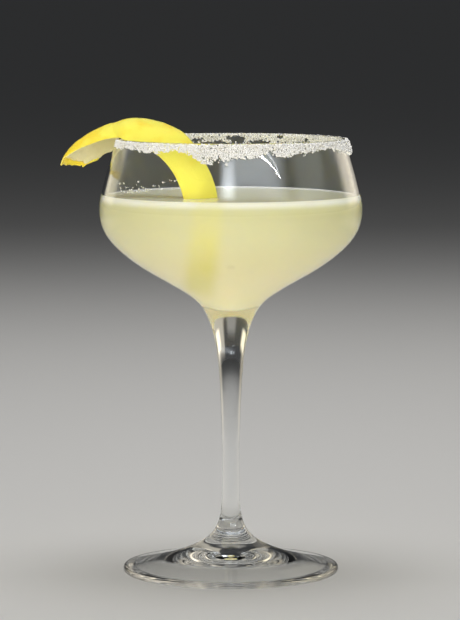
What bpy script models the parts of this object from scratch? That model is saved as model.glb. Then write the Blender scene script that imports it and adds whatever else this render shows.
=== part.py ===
"""A lemon drop cocktail: a stemmed coupe glass with a sugared rim, a cloudy lemon drink and a long lemon peel.

Metres, +Z up. Every piece is modelled about the glass's own axis and hangs from one empty, which puts the
origin at the bottom centre of the whole cocktail's box. The glass stands on the flat ring under its foot.
"""

import math
import random

import bmesh
import bpy
from mathutils import Vector

MM = 0.001

# Driving dimensions
RIM_HEIGHT = 162.0 * MM
RIM_RADIUS = 42.5 * MM
BOWL_RADIUS = 48.9 * MM
BOWL_WIDEST = 135.6 * MM
BOWL_FLOOR = 100.6 * MM
STEM_RADIUS = 3.25 * MM
FOOT_RADIUS = 40.3 * MM
LIP_WALL = 1.15 * MM
DRINK_LEVEL = 140.8 * MM
PEEL_THICKNESS = 1.9 * MM
SUGAR_THICKNESS = 0.85 * MM
CLEARANCE = 0.3 * MM

# How finely the turned shapes and the smooth curves are cut
TURN_STEPS = 48
POINTS_PER_SPAN = 2
MERGE = 0.00001

# The glass outside, from under the lip down to the foot's edge: radius, height
LIP_BASE = RIM_HEIGHT - LIP_WALL / 2
OUTSIDE = (
    (RIM_RADIUS, LIP_BASE),
    (45.35 * MM, 151.6 * MM),
    (47.15 * MM, 145.0 * MM),
    (BOWL_RADIUS, BOWL_WIDEST),
    (46.5 * MM, 126.2 * MM),
    (35.6 * MM, 115.8 * MM),
    (19.6 * MM, 106.4 * MM),
    (12.2 * MM, 101.2 * MM),
    (8.2 * MM, 94.8 * MM),
    (5.3 * MM, 84.4 * MM),
    (3.95 * MM, 67.5 * MM),
    (STEM_RADIUS, 37.0 * MM),
    (4.2 * MM, 19.6 * MM),
    (8.8 * MM, 12.6 * MM),
    (21.0 * MM, 6.9 * MM),
    (38.8 * MM, 2.6 * MM),
)

# The bowl inside, from its floor up to under the lip: radius, height
BOWL_WALL = 1.2 * MM
INSIDE = (
    (0.0, BOWL_FLOOR),
    (3.0 * MM, BOWL_FLOOR + 0.5 * MM),
    (6.2 * MM, BOWL_FLOOR + 2.3 * MM),
    (10.4 * MM, 105.2 * MM),
    (20.4 * MM, 110.2 * MM),
    (36.2 * MM, 118.8 * MM),
    (44.9 * MM, 127.1 * MM),
    (BOWL_RADIUS - BOWL_WALL, BOWL_WIDEST),
    (45.95 * MM, 145.0 * MM),
    (44.15 * MM, 151.6 * MM),
    (RIM_RADIUS - LIP_WALL, LIP_BASE),
)

# The foot's rounded edge, the flat ring that it stands on, and the shallow hollow inside that ring
FOOT_EDGE_RADIUS = 1.35 * MM
HOLLOW = (
    (35.6 * MM, 0.0),
    (22.0 * MM, 3.6 * MM),
    (0.0, 6.2 * MM),
)

# Where the drink climbs the wall
MENISCUS_WIDTH = 1.2 * MM
MENISCUS_RISE = 0.4 * MM

# The peel from its hanging end, over the lip and down to its sunken end: the near edge, the far edge, and how
# far its middle bows out towards the yellow side, in millimetres
PEEL_STATIONS = (
    ((-63.6, -2.6, 151.3), (-53.1, 9.8, 149.2), 3.4),
    ((-61.1, -6.5, 155.6), (-48.0, 10.6, 155.4), 4.8),
    ((-52.0, -6.0, 160.4), (-43.5, 12.8, 157.6), 6.6),
    ((-42.5, -6.0, 162.8), (-40.6, 12.8, 163.5), 5.1),
    ((-39.1, -10.1, 162.1), (-35.6, 8.5, 168.7), 2.8),
    ((-29.4, -11.8, 158.4), (-25.8, 3.4, 167.9), 2.4),
    ((-22.8, -15.6, 152.8), (-17.0, -3.4, 163.7), 2.2),
    ((-18.8, -19.0, 146.4), (-10.8, -9.0, 155.6), 1.8),
    ((-16.6, -21.4, 139.4), (-6.2, -12.6, 146.6), 1.6),
    ((-15.6, -21.6, 131.4), (-4.2, -13.0, 137.0), 1.6),
    ((-15.2, -19.6, 123.0), (-3.6, -11.0, 127.6), 1.6),
    ((-15.6, -15.4, 115.0), (-4.8, -6.6, 118.0), 1.5),
    ((-16.0, -9.6, 109.6), (-6.8, -2.0, 108.4), 1.2),
)
PEEL_STATION_GAP = 7.5
PEEL_ROWS = 40
PEEL_COLUMNS = 7
PEEL_END_ROUNDING = 0.34
PEEL_EDGE_SHARE = 0.4

# The sugar crust clings to the outside of the rim, just below the lip, and is open where the peel hangs over:
# its lower edge as angles about the axis, from +X, in degrees, and how far below the rim it lies there
SUGAR_EDGE = (
    (-169.0, 3.0 * MM),
    (-147.0, 2.6 * MM),
    (-134.0, 3.6 * MM),
    (-118.0, 2.7 * MM),
    (-111.0, 3.4 * MM),
    (-104.0, 6.1 * MM),
    (-80.0, 6.0 * MM),
    (-71.0, 3.4 * MM),
    (-66.0, 4.9 * MM),
    (-58.0, 4.3 * MM),
    (-43.0, 3.0 * MM),
    (-34.0, 2.5 * MM),
    (-20.0, 4.0 * MM),
    (2.0, 6.0 * MM),
    (24.0, 4.4 * MM),
    (49.0, 2.7 * MM),
    (72.0, 3.9 * MM),
    (100.0, 3.3 * MM),
    (130.0, 4.2 * MM),
    (158.0, 3.0 * MM),
)
SUGAR_TOP = 0.7 * MM
SUGAR_ROWS = 104
SUGAR_BUMP = 0.25 * MM
CLUMP_COUNT = 66
CLUMP_SIZES = (0.55 * MM, 0.85 * MM)
SEED = 7

# Colours
GLASS_COLOUR = (0.93, 0.96, 0.95, 1.0)
DRINK_COLOUR = (0.70, 0.66, 0.33, 1.0)
PEEL_COLOUR = (0.90, 0.70, 0.05, 1.0)
SUGAR_COLOUR = (0.92, 0.90, 0.84, 1.0)


def clear_scene():
    """Removes what the scene starts with."""
    for thing in list(bpy.data.objects):
        bpy.data.objects.remove(thing, do_unlink=True)


def new_collection(name):
    """Makes a collection in the scene."""
    collection = bpy.data.collections.new(name)
    bpy.context.scene.collection.children.link(collection)
    return collection


def new_material(name, colour, roughness, transmission=0.0):
    """Makes a Principled material."""
    material = bpy.data.materials.new(name)
    material.use_nodes = True
    material.diffuse_color = colour
    shader = material.node_tree.nodes["Principled BSDF"]
    shader.inputs["Base Color"].default_value = colour
    shader.inputs["Roughness"].default_value = roughness
    shader.inputs["Metallic"].default_value = 0.0
    shader.inputs["Transmission Weight"].default_value = transmission
    return material


def new_object(name, mesh, collection, material=None):
    """Makes an object of a mesh, in a collection."""
    made = bpy.data.objects.new(name, mesh)
    collection.objects.link(made)
    if material:
        mesh.materials.append(material)
    return made


def direction_at(before, middle, after):
    """The smooth curve's direction at a point: the closer of its two neighbours counts for more."""
    back = math.sqrt((middle - before).length)
    ahead = math.sqrt((after - middle).length)
    return (middle - before) / back - (after - before) / (back + ahead) + (after - middle) / ahead


def on_smooth_curve(points, place):
    """A point on the centripetal Catmull-Rom curve; place runs from 0 to the last point's number."""
    points = [Vector(point) for point in points]
    points = [2 * points[0] - points[1], *points, 2 * points[-1] - points[-2]]
    span = min(max(int(place), 0), len(points) - 4)
    t = place - span
    before, start, end, after = points[span : span + 4]
    reach = math.sqrt((end - start).length)
    return (
        start * (2 * t**3 - 3 * t**2 + 1)
        + direction_at(before, start, end) * reach * (t**3 - 2 * t**2 + t)
        + end * (3 * t**2 - 2 * t**3)
        + direction_at(start, end, after) * reach * (t**3 - t**2)
    )


def smooth_curve(points):
    """Points along the smooth curve, with the same number of steps between each two of the given ones."""
    steps = (len(points) - 1) * POINTS_PER_SPAN
    return [on_smooth_curve(points, step / POINTS_PER_SPAN) for step in range(steps + 1)]


def radius_at(outline, height):
    """The radius of a smooth outline at a height, where the outline rises or falls steadily."""
    curve = smooth_curve(outline)
    for one, other in zip(curve, curve[1:]):
        low, high = sorted((one.y, other.y))
        if low <= height <= high and high > low:
            share = (height - one.y) / (other.y - one.y)
            return one.x + share * (other.x - one.x)
    return curve[0].x if abs(curve[0].y - height) < abs(curve[-1].y - height) else curve[-1].x


def arc(centre, radius, first, last, steps):
    """Points on an arc in the profile plane, from one angle in degrees to another."""
    angles = [math.radians(first + (last - first) * step / steps) for step in range(steps + 1)]
    return [Vector((centre[0] + radius * math.cos(a), centre[1] + radius * math.sin(a))) for a in angles]


def turned(name, profile, collection, material):
    """A solid turned about the axis from a profile that goes up the inside and down the outside."""
    mesh = bpy.data.meshes.new(name)
    points = [(radius, 0.0, height) for radius, height in profile]
    mesh.from_pydata(points, [(i, i + 1) for i in range(len(points) - 1)], [])
    made = new_object(name, mesh, collection, material)
    screw = made.modifiers.new("Turn", "SCREW")
    screw.steps = TURN_STEPS
    screw.render_steps = TURN_STEPS
    screw.use_merge_vertices = True
    screw.merge_threshold = MERGE
    screw.use_smooth_shade = True
    return made


def applied(made):
    """Turns an object's evaluated shape into its own plain mesh."""
    bpy.context.view_layer.update()
    graph = bpy.context.evaluated_depsgraph_get()
    mesh = bpy.data.meshes.new_from_object(made.evaluated_get(graph))
    made.modifiers.clear()
    made.data = mesh
    return made


def build_glass(collection, material):
    """The coupe glass: the bowl, the drawn stem and the foot are one piece of glass."""
    lip_centre = (RIM_RADIUS - LIP_WALL / 2, LIP_BASE)
    lip = arc(lip_centre, LIP_WALL / 2, 180, 0, 4)
    edge_centre = (FOOT_RADIUS - FOOT_EDGE_RADIUS, FOOT_EDGE_RADIUS)
    edge = arc(edge_centre, FOOT_EDGE_RADIUS, 72, -90, 4)
    profile = smooth_curve(INSIDE)[:-1] + lip + smooth_curve(OUTSIDE)[1:] + edge + smooth_curve(HOLLOW)
    return turned("coupe_glass", profile, collection, material)


def drink_profile():
    """Up the bowl's inside, a clearance away from it, over the meniscus and in along the level top."""
    top = DRINK_LEVEL + MENISCUS_RISE
    wall = [point for point in smooth_curve(INSIDE) if point.y < DRINK_LEVEL - MENISCUS_RISE]
    profile = [Vector((0.0, BOWL_FLOOR + CLEARANCE))]
    for before, point, after in zip(wall, wall[1:], wall[2:]):
        along = (after - before).normalized()
        profile.append(point + Vector((-along.y, along.x)) * CLEARANCE)
    at_wall = radius_at(INSIDE, top) - CLEARANCE
    profile.append(Vector((at_wall, top)))
    profile.append(Vector((at_wall - MENISCUS_WIDTH / 3, DRINK_LEVEL + MENISCUS_RISE / 3)))
    profile.append(Vector((at_wall - MENISCUS_WIDTH, DRINK_LEVEL)))
    profile.append(Vector((0.0, DRINK_LEVEL)))
    return profile


def peel_point(along, across, widen=0.0):
    """A point on the peel's yellow face. Along runs from 0 to 1 from the hanging end, across from -1 to 1."""
    last = len(PEEL_STATIONS) - 1
    inset = PEEL_END_ROUNDING * across**2 - widen / PEEL_STATION_GAP
    place = inset + along * (last - 2 * inset)
    near = on_smooth_curve([station[0] for station in PEEL_STATIONS], place)
    far = on_smooth_curve([station[1] for station in PEEL_STATIONS], place)
    bow = on_smooth_curve([(station[2], number) for number, station in enumerate(PEEL_STATIONS)], place).x
    step = 0.05
    ahead = min(max(place, 0.0) + step, last)
    behind = max(min(place, last) - step, 0.0)
    middle_ahead = on_smooth_curve([Vector(s[0]) + Vector(s[1]) for s in PEEL_STATIONS], ahead)
    middle_behind = on_smooth_curve([Vector(s[0]) + Vector(s[1]) for s in PEEL_STATIONS], behind)
    width = far - near
    outward = (middle_ahead - middle_behind).cross(width).normalized()
    reach = across * (0.5 + widen / width.length)
    return ((near + far) / 2 + width * reach + outward * bow * (1 - across**2)) * MM


def build_peel_sheet(name, collection, material, grow, thickness):
    """The curled strip, as an open grid given its thickness towards the white side. It grows by a margin all round."""
    mesh = bpy.data.meshes.new(name)
    sheet = bmesh.new()
    bmesh.ops.create_grid(sheet, x_segments=PEEL_ROWS, y_segments=PEEL_COLUMNS, size=1.0)
    for vertex in sheet.verts:
        along = (vertex.co.x + 1) / 2
        vertex.co = peel_point(along, vertex.co.y, grow / MM)
    bmesh.ops.recalc_face_normals(sheet, faces=sheet.faces)
    sheet.normal_update()
    if sheet.faces[:][len(sheet.faces) // 2].normal.y > 0:
        bmesh.ops.reverse_faces(sheet, faces=sheet.faces)
        sheet.normal_update()
    for vertex in sheet.verts:
        vertex.co += vertex.normal * grow
    sheet.to_mesh(mesh)
    rims = {vertex.index for edge in sheet.edges if edge.is_boundary for vertex in edge.verts}
    sheet.free()
    made = new_object(name, mesh, collection, material)
    thick = made.vertex_groups.new(name="Thick")
    for vertex in mesh.vertices:
        thick.add([vertex.index], PEEL_EDGE_SHARE if vertex.index in rims and not grow else 1.0, "REPLACE")
    solidify = made.modifiers.new("Thickness", "SOLIDIFY")
    solidify.thickness = thickness
    solidify.offset = -1.0
    solidify.vertex_group = thick.name
    mesh.shade_smooth()
    return made


def build_drink(collection, cutters, material):
    """The drink up to its level, with the slot that the sunken peel stands in."""
    drink = turned("lemon_drink", drink_profile(), collection, material)
    slot = build_peel_sheet("peel_slot", cutters, None, CLEARANCE, PEEL_THICKNESS + 2 * CLEARANCE)
    slot.hide_render = True
    slot.display_type = "WIRE"
    cut = drink.modifiers.new("Peel slot", "BOOLEAN")
    cut.operation = "DIFFERENCE"
    cut.object = slot
    return drink


def sugar_depth(angle):
    """How far below the rim the crust reaches at an angle in degrees."""
    for (one, depth), (other, next_depth) in zip(SUGAR_EDGE, SUGAR_EDGE[1:]):
        if angle <= other:
            return depth + (next_depth - depth) * (angle - one) / (other - one)
    return SUGAR_EDGE[-1][1]


def sugar_section(angle, bump):
    """The crust's closed outline at an angle: down against the glass, and back up over the crystals."""
    top = RIM_HEIGHT - SUGAR_TOP
    bottom = RIM_HEIGHT - sugar_depth(angle)
    middle = (top + bottom) / 2
    against = [(radius_at(OUTSIDE, height) + CLEARANCE, height) for height in (top, middle, bottom)]
    crust = [
        (against[2][0] + SUGAR_THICKNESS * 0.75 + bump(), bottom + 0.2 * MM),
        (against[1][0] + SUGAR_THICKNESS + bump(), middle - 0.3 * MM),
        (against[0][0] + SUGAR_THICKNESS * 0.85 + bump(), top - 0.5 * MM),
        (against[0][0] + SUGAR_THICKNESS * 0.3, top + 0.15 * MM),
    ]
    return against + crust


def build_sugar_crust(collection, material):
    """The crust's body: a strip of sections round the rim, closed along its seam and at both ends."""
    draw = random.Random(SEED)
    first, last = SUGAR_EDGE[0][0], SUGAR_EDGE[-1][0]
    sections = []
    for row in range(SUGAR_ROWS + 1):
        angle = first + (last - first) * row / SUGAR_ROWS
        section = sugar_section(angle, lambda: draw.uniform(-SUGAR_BUMP, SUGAR_BUMP))
        sections.append((math.radians(angle), section))
    around = len(sections[0][1])
    crust = bmesh.new()
    bmesh.ops.create_grid(crust, x_segments=SUGAR_ROWS, y_segments=around, size=1.0)
    for vertex in crust.verts:
        row = round((vertex.co.x + 1) / 2 * SUGAR_ROWS)
        column = round((vertex.co.y + 1) / 2 * around) % around
        angle, section = sections[row]
        radius, height = section[column]
        vertex.co = (radius * math.cos(angle), radius * math.sin(angle), height)
    bmesh.ops.remove_doubles(crust, verts=crust.verts, dist=MERGE)
    bmesh.ops.holes_fill(crust, edges=crust.edges, sides=0)
    bmesh.ops.triangulate(crust, faces=crust.faces)
    bmesh.ops.recalc_face_normals(crust, faces=crust.faces)
    mesh = bpy.data.meshes.new("sugar_rim")
    crust.to_mesh(mesh)
    crust.free()
    return new_object("sugar_rim", mesh, collection, material), sections


def build_clumps(sections, clumps):
    """Angular clumps of crystals, half sunk in the crust's lower edge and its outer face."""
    draw = random.Random(SEED + 1)
    lower_edge, face, upper_edge = 3, 4, 5
    for number in range(CLUMP_COUNT):
        share = (number + draw.uniform(0.2, 0.8)) / CLUMP_COUNT
        angle, section = sections[2 + int(share * (len(sections) - 4))]
        radius, height = section[draw.choice((lower_edge, lower_edge, face, face, upper_edge))]
        mesh = bpy.data.meshes.new("clump")
        crystal = bmesh.new()
        bmesh.ops.create_icosphere(crystal, subdivisions=1, radius=draw.uniform(*CLUMP_SIZES))
        crystal.to_mesh(mesh)
        crystal.free()
        made = new_object(f"clump_{number}", mesh, clumps)
        made.location = (radius * math.cos(angle), radius * math.sin(angle), height)
        made.rotation_euler = [draw.uniform(0, math.tau) for _ in range(3)]
        made.scale = (1.0, draw.uniform(0.7, 1.0), draw.uniform(0.6, 0.9))


def build_sugar(collection, clumps, material):
    """The sugared rim: the crust with its clumps fused on."""
    crust, sections = build_sugar_crust(collection, material)
    build_clumps(sections, clumps)
    fuse = crust.modifiers.new("Clumps", "BOOLEAN")
    fuse.operation = "UNION"
    fuse.operand_type = "COLLECTION"
    fuse.collection = clumps
    fuse.solver = "MANIFOLD"
    applied(crust)
    for clump in list(clumps.objects):
        bpy.data.objects.remove(clump, do_unlink=True)
    bpy.data.collections.remove(clumps)
    return crust


def stand_on_origin(pieces):
    """Hangs the pieces from one empty, moved so that the origin is at the bottom centre of their box."""
    bpy.context.view_layer.update()
    graph = bpy.context.evaluated_depsgraph_get()
    corners = [Vector(corner) for piece in pieces for corner in piece.evaluated_get(graph).bound_box]
    axis = bpy.data.objects.new("glass_axis", None)
    bpy.context.scene.collection.objects.link(axis)
    for piece in pieces:
        piece.parent = axis
    for side in (0, 1):
        places = [corner[side] for corner in corners]
        axis.location[side] = -(min(places) + max(places)) / 2


def main():
    """Builds the cocktail."""
    clear_scene()
    cocktail = new_collection("lemon_drop_cocktail")
    cutters = new_collection("cutters")
    clumps = new_collection("sugar_clumps")
    glass = build_glass(cocktail, new_material("clear_glass", GLASS_COLOUR, 0.02, 1.0))
    drink = build_drink(cocktail, cutters, new_material("cloudy_drink", DRINK_COLOUR, 0.08))
    peel_material = new_material("lemon_peel", PEEL_COLOUR, 0.42)
    peel = build_peel_sheet("lemon_peel", cocktail, peel_material, 0.0, PEEL_THICKNESS)
    sugar = build_sugar(cocktail, clumps, new_material("sugar", SUGAR_COLOUR, 0.55))
    stand_on_origin([glass, drink, peel, sugar])
    bpy.data.objects["peel_slot"].parent = bpy.data.objects["glass_axis"]


main()
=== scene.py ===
"""Dresses a lemon drop cocktail: coupe glass, cloudy lemon drink, curled lemon peel and sugared rim.

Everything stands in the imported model's frame, in metres. The sizes of the glass, the drink, the peel and the
sugar are millimetres about the glass's own axis, with heights from the surface that it stands on.
"""

import logging
import math
import random
from collections.abc import Iterable, Mapping, Sequence
from dataclasses import dataclass, field
from enum import Enum
from functools import cached_property, partial, reduce
from typing import Any

import bmesh
import bpy
from bpy.types import ID, AreaLight, Material, Mesh, Node, NodeSocket, NodeTree, Object, bpy_prop_collection
from mathutils import Matrix, Vector, noise


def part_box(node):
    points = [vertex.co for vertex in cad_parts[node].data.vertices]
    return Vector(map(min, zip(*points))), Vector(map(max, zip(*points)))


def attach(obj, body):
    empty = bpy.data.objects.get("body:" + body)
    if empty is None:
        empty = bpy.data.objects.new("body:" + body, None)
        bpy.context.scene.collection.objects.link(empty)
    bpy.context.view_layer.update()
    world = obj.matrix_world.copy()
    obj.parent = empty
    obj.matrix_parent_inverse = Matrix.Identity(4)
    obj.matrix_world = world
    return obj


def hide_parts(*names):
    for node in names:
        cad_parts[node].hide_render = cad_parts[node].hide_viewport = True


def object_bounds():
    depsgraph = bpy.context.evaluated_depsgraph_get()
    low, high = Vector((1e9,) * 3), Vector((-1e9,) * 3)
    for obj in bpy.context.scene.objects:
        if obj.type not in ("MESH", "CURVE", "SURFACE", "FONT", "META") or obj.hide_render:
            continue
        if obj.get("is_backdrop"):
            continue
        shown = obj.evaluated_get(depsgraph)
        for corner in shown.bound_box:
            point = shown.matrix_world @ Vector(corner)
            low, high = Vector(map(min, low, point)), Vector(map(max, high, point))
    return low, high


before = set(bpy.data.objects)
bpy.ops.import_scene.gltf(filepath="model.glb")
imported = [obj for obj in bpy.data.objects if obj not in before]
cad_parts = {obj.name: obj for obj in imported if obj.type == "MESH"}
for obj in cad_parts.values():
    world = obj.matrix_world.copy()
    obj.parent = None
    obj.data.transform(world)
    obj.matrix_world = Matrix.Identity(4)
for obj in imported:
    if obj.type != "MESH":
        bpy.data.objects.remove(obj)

LOG = logging.getLogger("lemon_drop_cocktail")
CAD_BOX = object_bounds()
BODY = "root"
MM = 0.001
MERGE = 1e-7

Number = int | float
Pair = tuple[float, float]
Pairs = tuple[Pair, ...]
Triple = tuple[float, float, float]
Colour = tuple[float, float, float, float]
Scatter = tuple[float, float, Triple]
Feeds = Mapping[str | int, Any]


# ---- curves and meshes


@dataclass(frozen=True)
class SmoothCurve:
    """A centripetal Catmull-Rom curve through a few stations."""

    stations: tuple[tuple[float, ...], ...]

    @cached_property
    def padded(self) -> list[Vector]:
        """The stations as vectors, with one more past each end."""
        points = [Vector(station) for station in self.stations]
        return [2 * points[0] - points[1], *points, 2 * points[-1] - points[-2]]

    @property
    def last(self) -> int:
        """The last station's number."""
        return len(self.stations) - 1

    def direction(self, number: int) -> Vector:
        """Finds the curve's direction at a station.

        Args:
            number: The station's number, from 0.

        Returns:
            The direction, in which the closer of its two neighbours counts for more.
        """
        before, middle, after = self.padded[number : number + 3]
        back = math.sqrt((middle - before).length)
        ahead = math.sqrt((after - middle).length)
        return (middle - before) / back - (after - before) / (back + ahead) + (after - middle) / ahead

    def at(self, place: float) -> Vector:
        """Finds a point on the curve.

        Args:
            place: From 0 at the first station to the last station's number.

        Returns:
            The point.
        """
        span = min(max(int(place), 0), self.last - 1)
        t = place - span
        start, end = self.padded[span + 1 : span + 3]
        reach = math.sqrt((end - start).length)
        return (
            start * (2 * t**3 - 3 * t**2 + 1)
            + self.direction(span) * reach * (t**3 - 2 * t**2 + t)
            + end * (3 * t**2 - 2 * t**3)
            + self.direction(span + 1) * reach * (t**3 - t**2)
        )


@dataclass(frozen=True)
class Outline(SmoothCurve):
    """A turned outline: each station is a radius and a height in millimetres."""

    per_span: int = 18
    settling: int = 40

    @cached_property
    def fine(self) -> list[Vector]:
        """The outline in short steps, settled to an even bend, because reflections show every jump.

        Returns:
            Points of radius and height in millimetres.
        """
        points = [self.at(step / self.per_span) for step in range(self.last * self.per_span + 1)]
        for _ in range(self.settling):
            threes = zip(points, points[1:], points[2:])
            inner = [(before + 2 * point + after) / 4 for before, point, after in threes]
            points = [points[0], *inner, points[-1]]
        return points

    def radius(self, height: float) -> float:
        """Finds the outline's radius at a height.

        Args:
            height: The height in millimetres.

        Returns:
            The radius in millimetres. Past the outline's ends it is the nearer end's.
        """
        for one, other in zip(self.fine, self.fine[1:]):
            low, high = sorted((one.y, other.y))
            if low <= height <= high and high > low:
                return one.x + (height - one.y) / (other.y - one.y) * (other.x - one.x)
        return min((self.fine[0], self.fine[-1]), key=lambda end: abs(end.y - height)).x


def arc(centre: Pair, radius: float, first: float, last: float, steps: int) -> list[Vector]:
    """Lists points on an arc in the profile plane.

    Args:
        centre: The arc's centre, as a radius and a height.
        radius: The arc's own radius.
        first: The angle that it starts at, in degrees.
        last: The angle that it ends at, in degrees.
        steps: How many pieces it is cut into.

    Returns:
        The points, the two ends among them.
    """
    angles = [math.radians(first + (last - first) * step / steps) for step in range(steps + 1)]
    return [Vector((centre[0] + radius * math.cos(a), centre[1] + radius * math.sin(a))) for a in angles]


def ease(low: float, high: float, value: float) -> float:
    """Rises smoothly from 0 to 1.

    Args:
        low: The value up to which it stays 0.
        high: The value at which it reaches 1. It may be the smaller of the two.
        value: The value to look at.

    Returns:
        From 0 to 1.
    """
    share = min(max((value - low) / (high - low), 0.0), 1.0)
    return share * share * (3 - 2 * share)


def layered(point: Vector, layers: Pairs) -> float:
    """Adds up noises at a point.

    Args:
        point: The place in millimetres.
        layers: Each noise's pitch and size.

    Returns:
        The sum.
    """
    return sum(noise.noise(point * pitch) * size for pitch, size in layers)


def in_metres(millimetres: Iterable[float]) -> tuple[float, ...]:
    """Turns millimetres into metres.

    Args:
        millimetres: The values to turn.

    Returns:
        The values in metres.
    """
    return tuple(value * MM for value in millimetres)


def new_object(name: str, data: ID) -> Object:
    """Puts an object in the scene, at the origin.

    Args:
        name: The object's name.
        data: Its mesh, lamp or camera.

    Returns:
        The object.
    """
    made = bpy.data.objects.new(name, data)
    bpy.context.scene.collection.objects.link(made)
    return made


def new_mesh(name: str, points: Iterable[Sequence[float]], faces: Iterable[Sequence[int]] = ()) -> Mesh:
    """Makes a mesh of points and faces.

    Args:
        name: The mesh's name.
        points: Places in metres.
        faces: The numbers of each face's points, in order.

    Returns:
        The mesh.
    """
    mesh = bpy.data.meshes.new(name)
    mesh.from_pydata(list(points), [], list(faces))
    return mesh


def face_outwards(mesh: Mesh) -> None:
    """Merges a closed shell's doubles and points its faces outwards.

    Args:
        mesh: The shell, which is changed in place.
    """
    shell = bmesh.new()
    shell.from_mesh(mesh)
    bmesh.ops.remove_doubles(shell, verts=shell.verts, dist=MERGE)
    bmesh.ops.recalc_face_normals(shell, faces=shell.faces)
    shell.to_mesh(mesh)
    shell.free()
    mesh.shade_smooth()


def add_attribute(mesh: Mesh, name: str, values: Sequence[float]) -> None:
    """Stores a number for each point of a mesh, for nodes to read by name.

    Args:
        mesh: The mesh.
        name: The attribute's name.
        values: The numbers, in the points' order.
    """
    mesh.attributes.new(name, "FLOAT", "POINT").data.foreach_set("value", values)


def lattice(rows: int, columns: int, rows_joined: bool, columns_joined: bool) -> list[tuple[int, ...]]:
    """Lists the faces between rows of points.

    Args:
        rows: How many rows there are.
        columns: How many points a row has.
        rows_joined: Whether the last row leads back to the first.
        columns_joined: Whether each row's last point leads back to its first.

    Returns:
        Four point numbers for each face.
    """
    faces = []
    for row in range(rows if rows_joined else rows - 1):
        here, there = row * columns, (row + 1) % rows * columns
        for number in range(columns if columns_joined else columns - 1):
            after = (number + 1) % columns
            faces.append((here + number, here + after, there + after, there + number))
    return faces


# ---- node trees


@dataclass(frozen=True)
class Wiring:
    """Adds nodes to a shader or geometry tree and joins them. Most methods add a node and give its output."""

    tree: NodeTree

    def feed(self, node: Node, feeds: Feeds) -> None:
        """Fills a node's sockets.

        Args:
            node: The node.
            feeds: A value or another node's output for each socket, by the socket's name or number.
        """
        for name, value in feeds.items():
            if isinstance(value, NodeSocket):
                self.tree.links.new(value, node.inputs[name])
            else:
                node.inputs[name].default_value = value

    def add(self, kind: str, feeds: Feeds | None = None, **options: Any) -> bpy_prop_collection:
        """Adds one node.

        Args:
            kind: The node's type.
            feeds: What goes into its sockets: a value, or another node's output.
            **options: Its settings, by name.

        Returns:
            The node's outputs.
        """
        node = self.tree.nodes.new(kind)
        for name, value in options.items():
            setattr(node, name, value)
        self.feed(node, feeds or {})
        return node.outputs

    def math(self, operation: str, *values: Any) -> NodeSocket:
        """Calculates with a Math node."""
        return self.add("ShaderNodeMath", dict(enumerate(values)), operation=operation)[0]

    def product(self, *values: Any) -> NodeSocket:
        """Multiplies values, one after the other."""
        return reduce(partial(self.math, "MULTIPLY"), values)

    def joined(self, *values: Any) -> NodeSocket:
        """Makes a vector of X, Y and Z."""
        return self.add("ShaderNodeCombineXYZ", dict(enumerate(values)))[0]

    def stretched(self, vector: Any, factor: Any) -> NodeSocket:
        """Multiplies a vector by a number."""
        return self.add("ShaderNodeVectorMath", {0: vector, "Scale": factor}, operation="SCALE")[0]

    def split(self, vector: Any) -> bpy_prop_collection:
        """Splits a vector into the outputs X, Y and Z."""
        return self.add("ShaderNodeSeparateXYZ", {0: vector})

    def here(self) -> NodeSocket:
        """Gives the place that is shaded, in the piece's own space."""
        return self.add("ShaderNodeTexCoord")["Object"]

    def noise(self, place: Any, scale: float, detail: float) -> NodeSocket:
        """Finds the value of a noise texture of a scale and a detail."""
        return self.add("ShaderNodeTexNoise", {"Vector": place, "Scale": scale, "Detail": detail})[0]

    def blend(self, share: Any, one: Any, other: Any) -> NodeSocket:
        """Mixes two colours. Their sockets come after the Mix node's sockets for numbers and vectors."""
        return self.add("ShaderNodeMix", {0: share, 6: one, 7: other}, data_type="RGBA")[2]

    def spread(
        self, value: Any, low: float, high: float, to_low: float = 0.0, to_high: float = 1.0
    ) -> NodeSocket:
        """Maps a value smoothly from one range to another."""
        feeds = {"Value": value, "From Min": low, "From Max": high, "To Min": to_low, "To Max": to_high}
        return self.add("ShaderNodeMapRange", feeds, interpolation_type="SMOOTHSTEP")["Result"]

    def shifted(self, geometry: Any, **values: Any) -> NodeSocket:
        """Sets the points of a geometry to a Position, or moves them by an Offset."""
        return self.add("GeometryNodeSetPosition", {"Geometry": geometry, **values})[0]

    def chance(self, low: Triple, high: Triple, seed: int) -> NodeSocket:
        """Draws a random vector for each element."""
        feeds = {"Min": low, "Max": high, "Seed": seed}
        return self.add("FunctionNodeRandomValue", feeds, data_type="FLOAT_VECTOR")[0]


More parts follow.
